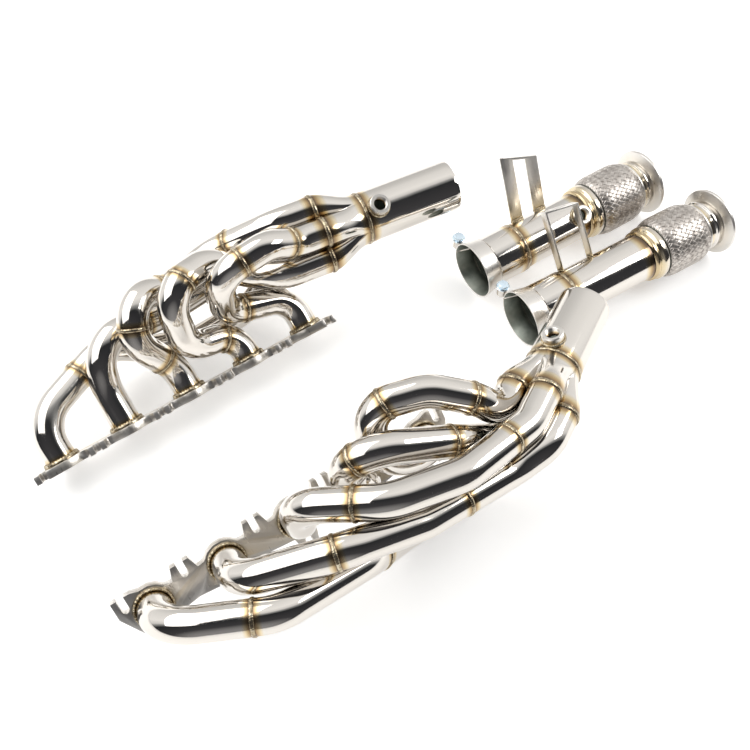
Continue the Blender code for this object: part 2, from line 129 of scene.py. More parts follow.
def heatTint(tree, coolColour):
    # oxide colours beside a weld: bare steel, straw, bronze, brown, then grey at the bead
    heat = addNode(tree, "ShaderNodeAttribute", {"attribute_name": "weldHeat"})
    coordinates = addNode(tree, "ShaderNodeTexCoord")
    wander = addNode(tree, "ShaderNodeTexNoise", None,
                     {"Vector": coordinates.outputs["Object"], "Scale": 90.0, "Detail": 2.0})
    shifted = addNode(tree, "ShaderNodeMath", {"operation": "MULTIPLY_ADD"},
                      {0: wander.outputs["Fac"], 1: 0.16, 2: -0.08})
    amount = addNode(tree, "ShaderNodeMath", {"operation": "MULTIPLY_ADD", "use_clamp": True},
                     {0: shifted.outputs[0], 1: heat.outputs["Fac"], 2: heat.outputs["Fac"]})
    ramp = addNode(tree, "ShaderNodeValToRGB", None, {"Fac": amount.outputs[0]})
    setRamp(ramp, ((0.0, coolColour), (0.22, coolColour), (0.46, hexColour("#D3C3A2")),
                   (0.66, hexColour("#AF9670")), (0.84, hexColour("#7A6753")), (1.0, hexColour("#5C5249"))))
    return amount, ramp


def makePolishedStainless():
    # buffed 304 tube: near-mirror, slightly warm, faint buffing haze and waviness
    material, tree, shader = newMaterial("polishedStainless")
    amount, ramp = heatTint(tree, hexColour("#D8D3CC"))
    coordinates = addNode(tree, "ShaderNodeTexCoord")
    haze = addNode(tree, "ShaderNodeTexNoise", None,
                   {"Vector": coordinates.outputs["Object"], "Scale": 14.0, "Detail": 5.0, "Roughness": 0.6})
    smear = addNode(tree, "ShaderNodeMapRange", None,
                    {"Value": haze.outputs["Fac"], "From Min": 0.35, "From Max": 0.75,
                     "To Min": 0.055, "To Max": 0.13})
    gloss = addNode(tree, "ShaderNodeMath", {"operation": "MULTIPLY_ADD"},
                    {0: amount.outputs[0], 1: 0.14, 2: smear.outputs["Result"]})
    wave = addNode(tree, "ShaderNodeTexNoise", None,
                   {"Vector": coordinates.outputs["Object"], "Scale": 38.0, "Detail": 1.0})
    bump = addNode(tree, "ShaderNodeBump", None,
                   {"Height": wave.outputs["Fac"], "Strength": 0.10, "Distance": 0.0012})
    tree.links.new(ramp.outputs["Color"], shader.inputs["Base Color"])
    tree.links.new(gloss.outputs[0], shader.inputs["Roughness"])
    tree.links.new(bump.outputs["Normal"], shader.inputs["Normal"])
    return material


def makeWeldBead():
    # TIG fusion bead: ripples are in the mesh, straw to brown oxide over dull steel
    material, tree, shader = newMaterial("tigWeldBead")
    coordinates = addNode(tree, "ShaderNodeTexCoord")
    patches = addNode(tree, "ShaderNodeTexNoise", None,
                      {"Vector": coordinates.outputs["Object"], "Scale": 220.0, "Detail": 2.0})
    ramp = addNode(tree, "ShaderNodeValToRGB", None, {"Fac": patches.outputs["Fac"]})
    setRamp(ramp, ((0.30, hexColour("#75695A")), (0.50, hexColour("#A99B80")), (0.72, hexColour("#D6CCB6"))))
    tree.links.new(ramp.outputs["Color"], shader.inputs["Base Color"])
    shader.inputs["Roughness"].default_value = 0.27
    return material


def makeBrushedStainless():
    # satin plate and sockets: fine lengthwise scratches, drawn 1.5 mm apart so that they show
    material, tree, shader = newMaterial("brushedStainless")
    amount, ramp = heatTint(tree, hexColour("#DAD6D0"))
    coordinates = addNode(tree, "ShaderNodeTexCoord")
    grain = addNode(tree, "ShaderNodeMapping", None,
                    {"Vector": coordinates.outputs["Object"], "Scale": (650.0, 60.0, 60.0)})
    scratches = addNode(tree, "ShaderNodeTexNoise", None,
                        {"Vector": grain.outputs["Vector"], "Scale": 1.0, "Detail": 3.0})
    cloud = addNode(tree, "ShaderNodeTexNoise", None,
                    {"Vector": coordinates.outputs["Object"], "Scale": 30.0, "Detail": 3.0})
    both = addNode(tree, "ShaderNodeMath", {"operation": "MULTIPLY_ADD"},
                   {0: cloud.outputs["Fac"], 1: 0.5, 2: scratches.outputs["Fac"]})
    gloss = addNode(tree, "ShaderNodeMapRange", None,
                    {"Value": both.outputs[0], "From Min": 0.4, "From Max": 1.1,
                     "To Min": 0.22, "To Max": 0.44})
    bump = addNode(tree, "ShaderNodeBump", None,
                   {"Height": scratches.outputs["Fac"], "Strength": 0.25, "Distance": 0.0004})
    tree.links.new(ramp.outputs["Color"], shader.inputs["Base Color"])
    tree.links.new(gloss.outputs["Result"], shader.inputs["Roughness"])
    tree.links.new(bump.outputs["Normal"], shader.inputs["Normal"])
    return material


def makeTubeBore():
    # inside of a tube: mill finish, dull and dark
    material, tree, shader = newMaterial("millFinishBore")
    coordinates = addNode(tree, "ShaderNodeTexCoord")
    cloud = addNode(tree, "ShaderNodeTexNoise", None,
                    {"Vector": coordinates.outputs["Object"], "Scale": 40.0, "Detail": 4.0})
    ramp = addNode(tree, "ShaderNodeValToRGB", None, {"Fac": cloud.outputs["Fac"]})
    setRamp(ramp, ((0.3, hexColour("#757A73")), (0.7, hexColour("#A0A49B"))))
    tree.links.new(ramp.outputs["Color"], shader.inputs["Base Color"])
    shader.inputs["Roughness"].default_value = 0.5
    return material


def makeWireBraid():
    # woven 0.4 mm stainless wire in flat plaits, bright on the crowns
    material, tree, shader = newMaterial("wovenWireBraid")
    coordinates = addNode(tree, "ShaderNodeTexCoord")
    cloud = addNode(tree, "ShaderNodeTexNoise", None,
                    {"Vector": coordinates.outputs["Object"], "Scale": 160.0, "Detail": 2.0})
    ramp = addNode(tree, "ShaderNodeValToRGB", None, {"Fac": cloud.outputs["Fac"]})
    setRamp(ramp, ((0.3, hexColour("#A8A099")), (0.7, hexColour("#D6D0C9"))))
    tree.links.new(ramp.outputs["Color"], shader.inputs["Base Color"])
    shader.inputs["Roughness"].default_value = 0.36
    return material


def makeZincPlate():
    # clear-passivated zinc on steel: bright with a cold blue cast
    material, tree, shader = newMaterial("zincPlatedSteel")
    coordinates = addNode(tree, "ShaderNodeTexCoord")
    cloud = addNode(tree, "ShaderNodeTexNoise", None,
                    {"Vector": coordinates.outputs["Object"], "Scale": 120.0, "Detail": 3.0})
    gloss = addNode(tree, "ShaderNodeMapRange", None,
                    {"Value": cloud.outputs["Fac"], "To Min": 0.16, "To Max": 0.36})
    shader.inputs["Base Color"].default_value = hexColour("#D3E2EC")
    tree.links.new(gloss.outputs["Result"], shader.inputs["Roughness"])
    return material


polishedStainless = makePolishedStainless()
weldBeadSteel = makeWeldBead()
brushedStainless = makeBrushedStainless()
tubeBore = makeTubeBore()
wireBraid = makeWireBraid()
zincPlate = makeZincPlate()
print("materials made")


def frameAbout(axis):
    level = Vector((0, 0, 1)).cross(axis).normalized()
    return level, axis.cross(level).normalized()


def bendMoves(corners, radii):
    # straights and bends in the order that a tube bender makes them
    moves = []
    here = corners[0]
    for before, corner, after, radius in zip(corners, corners[1:], corners[2:], radii):
        back = (before - corner).normalized()
        onward = (after - corner).normalized()
        inside = back.angle(onward)
        reach = radius / math.tan(inside / 2)
        moves.append({"kind": "straight", "start": here, "end": corner + back * reach})
        centre = corner + (back + onward).normalized() * radius / math.sin(inside / 2)
        turnAxis = (-back).cross(onward).normalized()
        moves.append({"kind": "bend", "start": corner + back * reach, "centre": centre, "axis": turnAxis,
                      "angle": math.pi - inside, "radius": radius})
        here = corner + onward * reach
    moves.append({"kind": "straight", "start": here, "end": corners[-1]})
    return moves


def moveLength(move):
    if move["kind"] == "straight":
        return (move["end"] - move["start"]).length
    return move["radius"] * move["angle"]


def pointAlong(moves, distance):
    # place and direction at a distance along the tube
    for move in moves:
        length = moveLength(move)
        if distance <= length or move is moves[-1]:
            share = distance / max(length, 1e-6)
            if move["kind"] == "straight":
                return move["start"].lerp(move["end"], share), (move["end"] - move["start"]).normalized()
            spin = Matrix.Rotation(move["angle"] * share, 3, move["axis"])
            spoke = spin @ (move["start"] - move["centre"])
            return move["centre"] + spoke, move["axis"].cross(spoke).normalized()
        distance -= length


def splitMoves(moves, cut):
    first, second, done = [], [], 0.0
    for move in moves:
        length = moveLength(move)
        if done + length <= cut:
            first.append(move)
        elif done >= cut:
            second.append(move)
        else:
            share = (cut - done) / length
            place, _ = pointAlong([move], cut - done)
            if move["kind"] == "straight":
                first.append(dict(move, end=place))
                second.append(dict(move, start=place))
            else:
                first.append(dict(move, angle=move["angle"] * share))
                second.append(dict(move, start=place, angle=move["angle"] * (1 - share)))
        done += length
    return first, second


tubeSettings = {"sides": 48, "straightStep": 6.0, "bendStep": 4.0, "wall": 1.8}


def bendTube(name, moves, outer, wall=None):
    # an open ring is drawn out for each straight and spun for each bend, then given its wall
    start, direction = pointAlong(moves, 0.0)
    deselectAll()
    bpy.ops.mesh.primitive_circle_add(vertices=tubeSettings["sides"], radius=outer / 2 * mm,
                                      fill_type="NOTHING", location=toWorld(start),
                                      rotation=direction.to_track_quat("Z", "Y").to_euler())
    piece = bpy.context.object
    piece.name = name
    piece.data.name = name
    applyPlace(piece)
    bpy.ops.object.mode_set(mode="EDIT")
    bpy.ops.mesh.select_all(action="SELECT")
    for move in moves:
        if move["kind"] == "straight":
            step = move["end"] - move["start"]
            count = max(1, math.ceil(step.length / tubeSettings["straightStep"]))
            if step.length < 0.05:
                continue
            for _ in range(count):
                bpy.ops.mesh.extrude_region_move(TRANSFORM_OT_translate={"value": step / count * mm})
        else:
            count = max(1, math.ceil(moveLength(move) / tubeSettings["bendStep"]))
            bpy.ops.mesh.spin(steps=count, angle=-move["angle"], center=toWorld(move["centre"]),
                              axis=move["axis"])
    bpy.ops.mesh.select_all(action="SELECT")
    bpy.ops.mesh.remove_doubles(threshold=0.00002)
    bpy.ops.mesh.normals_make_consistent(inside=False)
    bpy.ops.object.mode_set(mode="OBJECT")
    piece.data.materials.append(polishedStainless)
    piece.data.materials.append(tubeBore)
    shell = piece.modifiers.new("wall", "SOLIDIFY")
    shell.thickness = (wall or tubeSettings["wall"]) * mm
    shell.offset = -1.0
    shell.material_offset = 1
    applyModifiers(piece)
    return piece


def paintHeat(piece, welds, peak=1.0):
    # how hot each point got, from its distance to the nearest weld: (point, direction, reach) in layout mm
    heat = piece.data.attributes.new("weldHeat", "FLOAT", "POINT")
    seams = [(toWorld(point), direction.normalized(), reach * mm) for point, direction, reach in welds]
    values = []
    for vertex in piece.data.vertices:
        warmth = 0.0
        for point, direction, reach in seams:
            offset = vertex.co - point
            if offset.length < 0.075:
                warmth = max(warmth, 1.0 - abs(offset.dot(direction)) / reach)
        values.append(max(0.0, min(1.0, warmth)) * peak)
    heat.data.foreach_set("value", values)


def lathePiece(name, start, axis, profile, material, sides=96, bevel=0.5, boreMaterial=None):
    # the closed (distance, radius) outline is spun round its axis
    deselectAll()
    mesh = bpy.data.meshes.new(name)
    points = [(radius * mm, 0.0, along * mm) for along, radius in profile]
    edges = [(k, (k + 1) % len(points)) for k in range(len(points))]
    mesh.from_pydata(points, edges, [])
    piece = bpy.data.objects.new(name, mesh)
    bpy.context.scene.collection.objects.link(piece)
    pick(piece)
    bpy.ops.object.mode_set(mode="EDIT")
    bpy.ops.mesh.select_all(action="SELECT")
    bpy.ops.mesh.spin(steps=sides, angle=2 * math.pi, center=(0, 0, 0), axis=(0, 0, 1))
    bpy.ops.mesh.select_all(action="SELECT")
    bpy.ops.mesh.remove_doubles(threshold=0.00001)
    bpy.ops.mesh.normals_make_consistent(inside=False)
    bpy.ops.object.mode_set(mode="OBJECT")
    piece.data.materials.append(material)
    if bevel:
        rounding = piece.modifiers.new("edges", "BEVEL")
        rounding.width = bevel * mm
        rounding.segments = 2
        rounding.limit_method = "ANGLE"
        rounding.angle_limit = math.radians(28)
        applyModifiers(piece)
    turn = axis.to_track_quat("Z", "Y").to_matrix().to_4x4()
    piece.matrix_world = Matrix.Translation(toWorld(start)) @ turn
    applyPlace(piece)
    if boreMaterial:
        piece.data.materials.append(boreMaterial)
        origin = toWorld(start)
        for face in piece.data.polygons:
            spoke = face.center - origin
            spoke -= axis * spoke.dot(axis)
            if face.normal.dot(spoke) < -0.5 * spoke.length:
                face.material_index = 1
    smoothPiece(piece)
    return piece


def smoothPiece(piece, angle=35):
    pick(piece)
    bpy.ops.object.shade_smooth_by_angle(angle=math.radians(angle))


def ringProfile(begin, end, outer, inner):
    return [(begin, inner / 2), (begin, outer / 2), (end, outer / 2), (end, inner / 2)]


def cutAway(piece, cutter):
    trim = piece.modifiers.new("cut", "BOOLEAN")
    trim.operation = "DIFFERENCE"
    trim.solver = "EXACT"
    trim.object = cutter
    applyModifiers(piece)
    bpy.data.objects.remove(cutter, do_unlink=True)


def drill(place, axis, radius, length, sides=64):
    deselectAll()
    bpy.ops.mesh.primitive_cylinder_add(vertices=sides, radius=radius * mm, depth=length * mm,
                                        location=toWorld(place),
                                        rotation=axis.to_track_quat("Z", "Y").to_euler())
    return bpy.context.object


beadSettings = {"ripplePitch": 2.8, "rippleDepth": 0.26, "width": 2.8, "height": 0.45}


def weldRing(place, axis, radius, width=None, pitch=None, depth=None):
    # a fusion bead laid in overlapping ripples round a joint
    width = width or beadSettings["width"]
    pitch = pitch or beadSettings["ripplePitch"]
    depth = depth or beadSettings["rippleDepth"]
    ripples = round(2 * math.pi * radius / pitch)
    deselectAll()
    bpy.ops.mesh.primitive_torus_add(major_segments=ripples * 4, minor_segments=8, major_radius=radius,
                                     minor_radius=width)
    bead = bpy.context.object
    for vertex in bead.data.vertices:
        turn = math.atan2(vertex.co.y, vertex.co.x)
        out = Vector((vertex.co.x, vertex.co.y, 0)).normalized()
        core = out * radius
        swell = 1.0 + depth / width * math.cos(ripples * turn + 0.5 * vertex.co.z)
        bulge = (vertex.co - core) * swell
        low = beadSettings["height"]
        vertex.co = core + Vector((bulge.x * low, bulge.y * low, bulge.z))
    bead.scale = (mm, mm, mm)
    bead.rotation_euler = axis.to_track_quat("Z", "Y").to_euler()
    bead.location = toWorld(place)
    applyPlace(bead)
    return bead


def joinPieces(name, pieces, material):
    deselectAll()
    for piece in pieces:
        piece.select_set(True)
    bpy.context.view_layer.objects.active = pieces[0]
    if len(pieces) > 1:
        bpy.ops.object.join()
    whole = bpy.context.object
    whole.name = name
    whole.data.name = name
    whole.data.materials.clear()
    whole.data.materials.append(material)
    bpy.ops.object.shade_smooth()
    return whole


def roundedCopy(nodeName, newName, material, bevel=0.6, dissolve=True):
    # a CAD solid's own shape with its edges broken
    source = frame["nodes"][nodeName]
    copy = bpy.data.objects.new(newName, source.data.copy())
    copy.data.name = newName
    bpy.context.scene.collection.objects.link(copy)
    copy.data.materials.clear()
    copy.data.materials.append(material)
    pick(copy)
    bpy.ops.object.mode_set(mode="EDIT")
    bpy.ops.mesh.select_all(action="SELECT")
    bpy.ops.mesh.remove_doubles(threshold=0.00001)
    if dissolve:
        bpy.ops.mesh.dissolve_limited(angle_limit=math.radians(2))
    bpy.ops.object.mode_set(mode="OBJECT")
    if bevel:
        rounding = copy.modifiers.new("edges", "BEVEL")
        rounding.width = bevel * mm
        rounding.segments = 2
        rounding.limit_method = "ANGLE"
        rounding.angle_limit = math.radians(40)
        applyModifiers(copy)
    smoothPiece(copy)
    return copy


headerSettings = {"primary": 42.4, "outlet": 76.2, "portPitch": 98.0, "lobeRadius": 37.8,
                  "collectorLength": 68.0}

leftHeader = {
    "name": "left",
    "firstPort": Vector((0.0, 0.0, 42.0)),
    "normal": Vector((0.0, 0.82, 0.57)).normalized(),
    "inlet": Vector((463.0, 61.0, 150.0)),
    "axis": Vector((0.991, -0.131, 0.0)).normalized(),
    "outletLength": 147.0,
    "bung": (20.0, 116.0),
    "runners": [
        {"lobe": 271, "stub": 62, "lead": 45, "split": 138, "seams": (),
         "corners": ((124, 118, 72), (180, 97, 45), (250, 88, 21.3), (335, 92, 21.3), (395, 88, 75)),
         "radii": (60, 60, 60, 60, 55, 55, 55)},
        {"lobe": 343, "stub": 56, "lead": 50, "split": 190, "seams": (),
         "corners": ((116, 94, 128), (205, 112, 84), (345, 142, 60)),
         "radii": (80, 50, 60, 60, 60)},
        {"lobe": 55, "stub": 40, "lead": 60, "split": 132, "seams": (64, 214, 348),
         "corners": ((160, 55, 128), (184, 98, 172), (240, 116, 126), (325, 139, 128)),
         "radii": (60, 45, 42, 50, 60, 60)},
        {"lobe": 199, "stub": 44, "lead": 70, "split": 216, "seams": (52,),
         "corners": ((220, 28, 98), (224, 60, 196), (300, 95, 170), (345, 80, 124)),
         "radii": (40, 42, 42, 55, 50, 60)},
        {"lobe": 127, "stub": 52, "lead": 40, "split": 259, "seams": (118, 339),
         "corners": ((292, 50, 104), (292, 38, 200), (372, 42, 208)),
         "radii": (42, 42, 42, 45, 45)},
    ],
}
rightHeader = {
    "name": "right",
    "firstPort": Vector((21.0, -272.0, 100.0)),
    "normal": Vector((0.0, -0.67, 0.742)).normalized(),
    "inlet": Vector((551.0, -325.0, 133.0)),
    "axis": Vector((0.875, 0.462, -0.11)).normalized(),
    "outletLength": 126.0,
    "bung": (18.0, 68.0),
    "runners": [
        {"lobe": 244, "stub": 64, "lead": 50, "split": 156, "seams": (339,),
         "corners": ((137, -375, 152), (262, -368, 105), (345, -345, 21.3), (450, -350, 21.3)),
         "radii": (60, 60, 60, 60, 60, 55)},
        {"lobe": 172, "stub": 68, "lead": 50, "split": 180, "seams": (352,),
         "corners": ((228, -364, 188), (333, -381, 160), (473, -381, 134)),
         "radii": (50, 70, 80, 80, 60)},
        {"lobe": 100, "stub": 24, "lead": 55, "split": 151, "seams": (365,),
         "corners": ((211, -288, 186), (300, -352, 209), (395, -370, 198)),
         "radii": (42, 42, 80, 80, 64)},
        {"lobe": 316, "stub": 27, "lead": 55, "split": 112, "seams": (236,),
         "corners": ((240, -264, 198), (340, -296, 204), (424, -324, 173)),
         "radii": (34, 38, 60, 50, 50)},
        {"lobe": 28, "stub": 50, "lead": 45, "split": 184, "seams": (295,),
         "corners": ((346, -288, 134), (336, -230, 198), (420, -260, 209), (470, -297, 191)),
         "radii": (32, 34, 38, 60, 55, 44)},
    ],
}


def portPoint(header, index, out=0.0):
    return header["firstPort"] + Vector((headerSettings["portPitch"] * index, 0, 0)) + header["normal"] * out


def lobePoint(header, angle, back=0.0):
    level, up = frameAbout(header["axis"])
    turn = math.radians(angle)
    spoke = (level * math.cos(turn) + up * math.sin(turn)) * headerSettings["lobeRadius"]
    return header["inlet"] + spoke - header["axis"] * back


def makeRunner(header, index):
    runner = header["runners"][index]
    label = f"{header['name']}_runner_{index + 1}"
    corners = [portPoint(header, index, 0.0), portPoint(header, index, runner["stub"])]
    corners += [Vector(corner) for corner in runner["corners"]]
    corners += [lobePoint(header, runner["lobe"], runner["lead"]), lobePoint(header, runner["lobe"])]
    moves = bendMoves(corners, runner["radii"])
    total = sum(moveLength(move) for move in moves)
    seamPlaces = sorted((runner["split"], *runner["seams"]))
    welds = [(*pointAlong(moves, place), 15.0) for place in seamPlaces]
    welds.append((*pointAlong(moves, total), 22.0))
    welds.append((portPoint(header, index), header["normal"], 16.0))
    for part, span in zip(("port_bend", "collector_run"), splitMoves(moves, runner["split"])):
        tube = bendTube(f"{label}_{part}_tube", span, headerSettings["primary"])
        paintHeat(tube, welds)
        smoothPiece(tube, 50)
        finishPiece(tube, [f"{label}_{part}"])
    radius = headerSettings["primary"] / 2
    beads = [weldRing(place, direction, radius, depth=0.2) for place, direction, _ in welds[:-2]]
    place, direction, _ = welds[-2]
    beads.append(weldRing(place, direction, radius, width=3.4))
    beads.append(weldRing(portPoint(header, index, 1.2), header["normal"], radius + 2.0, width=4.6,
                          pitch=4.4, depth=0.7))
    seams = joinPieces(f"{label}_welds", beads, weldBeadSteel)
    finishPiece(seams, [], body=f"{header['name']}_header")


flangeTint = {"start": 22.0, "fade": 30.0, "peak": 0.32}


def makeFlange(header):
    name = f"{header['name']}_flange"
    # the plate is tinted in a ring round each port weld
    plate = roundedCopy(name, f"{name}_plate", brushedStainless, bevel=0.9)
    ports = [toWorld(portPoint(header, index)) for index in range(5)]
    heat = plate.data.attributes.new("weldHeat", "FLOAT", "POINT")
    values = []
    for vertex in plate.data.vertices:
        nearest = min((vertex.co - port).length for port in ports)
        warmth = 1.0 - (nearest - flangeTint["start"] * mm) / (flangeTint["fade"] * mm)
        values.append(max(0.0, min(1.0, warmth)) * flangeTint["peak"])
    heat.data.foreach_set("value", values)
    finishPiece(plate, [name])


collectorSettings = {"around": 200, "stations": 24, "wall": 1.8}


def lobedRadius(turn, lobeAngles, tubeRadius):
    apart = min(abs((math.degrees(turn) - angle + 180) % 360 - 180) for angle in lobeAngles)
    off = headerSettings["lobeRadius"] * math.sin(math.radians(apart))
    reach = math.sqrt(max(tubeRadius ** 2 - off ** 2, 0.0))
    return headerSettings["lobeRadius"] * math.cos(math.radians(apart)) + reach


def makeCollector(header):
    # five half-round lobes that run out into the round outlet
    name = f"{header['name']}_merge_collector"
    level, up = frameAbout(header["axis"])
    angles = [runner["lobe"] for runner in header["runners"]]
    around, stations = collectorSettings["around"], collectorSettings["stations"]
    loops = []
    for wall in (0.0, collectorSettings["wall"]):
        shell = []
        for k in range(stations + 1):
            share = k / stations
            ease = share * share * (3 - 2 * share)
            loop = []
            for j in range(around):
                turn = 2 * math.pi * j / around
                lobed = lobedRadius(turn, angles, headerSettings["primary"] / 2 - wall)
                radius = lobed * (1 - ease) + (headerSettings["outlet"] / 2 - wall) * ease
                spoke = level * math.cos(turn) + up * math.sin(turn)
                along = header["axis"] * headerSettings["collectorLength"] * share
                loop.append(toWorld(header["inlet"] + along + spoke * radius))
            shell.append(loop)
        loops += shell if not wall else shell[::-1]
    vertices = [point for loop in loops for point in loop]
    faces = []
    for k in range(len(loops)):
        follow = (k + 1) % len(loops)
        for j in range(around):
            nextJ = (j + 1) % around
            faces.append((k * around + j, k * around + nextJ, follow * around + nextJ, follow * around + j))
    mesh = bpy.data.meshes.new(f"{name}_shell")
    mesh.from_pydata(vertices, [], faces)
    piece = bpy.data.objects.new(f"{name}_shell", mesh)
    bpy.context.scene.collection.objects.link(piece)
    pick(piece)
    bpy.ops.object.mode_set(mode="EDIT")
    bpy.ops.mesh.select_all(action="SELECT")
    bpy.ops.mesh.normals_make_consistent(inside=False)
    bpy.ops.object.mode_set(mode="OBJECT")
    mesh.materials.append(polishedStainless)
    mesh.materials.append(tubeBore)
    for face in mesh.polygons:
        face.material_index = 1 if face.vertices[0] >= around * (stations + 1) else 0
    outletWeld = header["inlet"] + header["axis"] * headerSettings["collectorLength"]
    paintHeat(piece, [(header["inlet"], header["axis"], 26.0), (outletWeld, header["axis"], 18.0)])
    smoothPiece(piece, 40)
    finishPiece(piece, [name])


bungSettings = {"radius": 15.0, "tall": 12.0, "bore": 9.0, "threads": 7, "threadPitch": 1.5}


def makeBung(name, foot, outward, body):
    # turned boss with a chamfered mouth and thread turns in its bore
    bore = bungSettings["bore"]
    radius, tall, pitch = bungSettings["radius"], bungSettings["tall"], bungSettings["threadPitch"]
    profile = [(-1.0, radius), (tall - 1.4, radius), (tall, radius - 1.4),
               (tall, bore + 1.2), (tall - 1.0, bore)]
    for turn in range(bungSettings["threads"]):
        top = 10.5 - turn * pitch
        profile += [(top, bore + 0.1), (top - pitch / 2, bore + 0.9)]
    profile += [(-1.0, bore)]
    boss = lathePiece(f"{name}_boss", foot, outward, profile, brushedStainless, sides=64, bevel=0)
    paintHeat(boss, [(foot, outward, 9.0)])
    finishPiece(boss, [name])
    ring = weldRing(foot + outward * 0.3, outward, radius + 0.6, width=3.0)
    bead = joinPieces(f"{name}_weld", [ring], weldBeadSteel)
    finishPiece(bead, [], body=body)


def makeOutlet(header):
    axis = header["axis"]
    level, up = frameAbout(axis)
    body = f"{header['name']}_header"
    weld = header["inlet"] + axis * headerSettings["collectorLength"]
    outer, length = headerSettings["outlet"], header["outletLength"]
    profile = [(0.0, outer / 2 - 2)]
    rings = 24
    profile += [(length * k / rings, outer / 2) for k in range(rings + 1)]
    profile += [(length, outer / 2 - 2)]
    pipe = lathePiece(f"{header['name']}_outlet_pipe_tube", weld, axis, profile, polishedStainless,
                      sides=128, bevel=0.3, boreMaterial=tubeBore)
    along, angle = header["bung"]
    turn = math.radians(angle)
    outward = (level * math.cos(turn) + up * math.sin(turn)).normalized()
    foot = weld + axis * along + outward * outer / 2
    cutAway(pipe, drill(foot, outward, 9.0, 30.0))
    paintHeat(pipe, [(weld, axis, 20.0)])
    smoothPiece(pipe)
    finishPiece(pipe, [f"{header['name']}_outlet_pipe"])
    makeBung(f"{header['name']}_oxygen_sensor_bung", foot, outward, body)
    bead = joinPieces(f"{header['name']}_outlet_weld", [weldRing(weld, axis, outer / 2)], weldBeadSteel)
    finishPiece(bead, [], body=body)


for header in (leftHeader, rightHeader):
    makeFlange(header)
    for index in range(5):
        makeRunner(header, index)
    makeCollector(header)
    makeOutlet(header)
    print(header["name"], "header made")


linkPipes = [
    {"name": "link_1", "inlet": Vector((665.0, -58.0, 46.5)), "outlet": Vector((1009.0, -72.0, 54.6)),
     "pipeEnd": 205.5, "bung": (190.0, 124.0), "clamp": (10.0, 54.0),
     "strap": {"at": 132.0, "foot": (0.88, 0.47), "lift": 1.2, "lean": (0.47, 0.88),
               "half": 22.0, "leg": 22.0}},
    {"name": "link_2", "inlet": Vector((670.0, -172.0, 46.5)), "outlet": Vector((1043.0, -198.0, 54.6)),
     "pipeEnd": 227.5, "bung": None, "clamp": (3.0, 55.0),
     "strap": {"at": 119.0, "foot": (0.76, 0.65), "lift": 0.5, "lean": (0.68, 0.74),
               "half": 27.5, "leg": 3.0}},
]
socketSettings = {"mouthOuter": 92.0, "mouthBore": 88.0, "rearOuter": 81.0, "fit": 76.8, "flare": 20.0,
                  "length": 29.0, "slotWidth": 3.0, "slotLength": 24.0, "expandedEnd": 79.0, "taper": 5.0}
collarSettings = {"outer": 89.0, "step": 84.0, "length": 26.0, "rearOuter": 86.0, "rearLength": 8.0}
braidSettings = {"outer": 101.0, "length": 80.0, "plaits": 36, "plaitWidth": 7.2, "wires": 3, "samples": 56,
                 "twist": 1.3, "lift": 0.36}
flareSettings = {"outer": 108.0, "length": 10.0}


def braidRadius(share):
    # barrel outline of the braid between its two crimps
    edge = min(share, 1 - share)
    rise = math.sin(min(edge / 0.24, 1.0) * math.pi / 2) ** 0.8
    return 43.9 + (braidSettings["outer"] / 2 - 1.0 - 43.9) * rise


def makeBraid(link, axis, begin):
    # two sets of flat plaits wound opposite ways, over one and under one
    name = f"{link['name']}_flex_braid"
    level, up = frameAbout(axis)
    count, samples, wires = braidSettings["plaits"], braidSettings["samples"], braidSettings["wires"]
    across = wires * 2 + 1
    vertices, faces = [], []
    for hand in (1, -1):
        for k in range(count):
            base = len(vertices)
            for s in range(samples + 1):
                share = s / samples
                radius = braidRadius(share)
                turn = 2 * math.pi * k / count + hand * braidSettings["twist"] * share
                crossing = k + (turn + hand * braidSettings["twist"] * share) * count / (2 * math.pi)
                lift = hand * braidSettings["lift"] * math.cos(math.pi * crossing)
                for w in range(across):
                    side = (w / (across - 1) - 0.5) * braidSettings["plaitWidth"]
                    # the plait's width lies square to its own helix
                    sideTurn = turn - hand * side * 0.62 / radius
                    sideAlong = share * braidSettings["length"] + side * 0.62
                    sideAlong = max(0.0, min(braidSettings["length"], sideAlong))
                    height = braidRadius(sideAlong / braidSettings["length"]) + lift
                    height += 0.28 if w % 2 else -0.12
                    spoke = level * math.cos(sideTurn) + up * math.sin(sideTurn)
                    vertices.append(toWorld(link["inlet"] + axis * (begin + sideAlong) + spoke * height))
            for s in range(samples):
                for w in range(across - 1):
                    first = base + s * across + w
                    faces.append((first, first + 1, first + across + 1, first + across))
    mesh = bpy.data.meshes.new(f"{name}_weave")
    mesh.from_pydata(vertices, [], faces)
    weave = bpy.data.objects.new(f"{name}_weave", mesh)
    bpy.context.scene.collection.objects.link(weave)
    mesh.materials.append(wireBraid)
    middle = toWorld(link["inlet"] + axis * (begin + braidSettings["length"] / 2))
    for face in mesh.polygons:
        spoke = face.center - middle
        spoke -= axis * spoke.dot(axis)
        if face.normal.dot(spoke) < 0:
            face.flip()
    shell = weave.modifiers.new("thickness", "SOLIDIFY")
    shell.thickness = 0.3 * mm
    shell.offset = -1.0
    applyModifiers(weave)
    pick(weave)
    bpy.ops.object.shade_smooth()
    sleeveOut = [(begin + braidSettings["length"] * k / 16, braidRadius(k / 16) - 1.1) for k in range(17)]
    sleeveIn = [(along, radius - 1.0) for along, radius in sleeveOut[::-1]]
    sleeve = lathePiece(f"{name}_sleeve", link["inlet"], axis, sleeveOut + sleeveIn, tubeBore,
                        sides=72, bevel=0)
    for piece, nodes in ((weave, [name]), (sleeve, [])):
        if nodes:
            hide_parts(*nodes)
        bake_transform(piece)
    for inner in ("bellows", "liner"):
        node = f"{link['name']}_flex_{inner}"
        copy = roundedCopy(node, f"{node}_core", tubeBore, bevel=0, dissolve=False)
        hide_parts(node)
        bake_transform(copy)


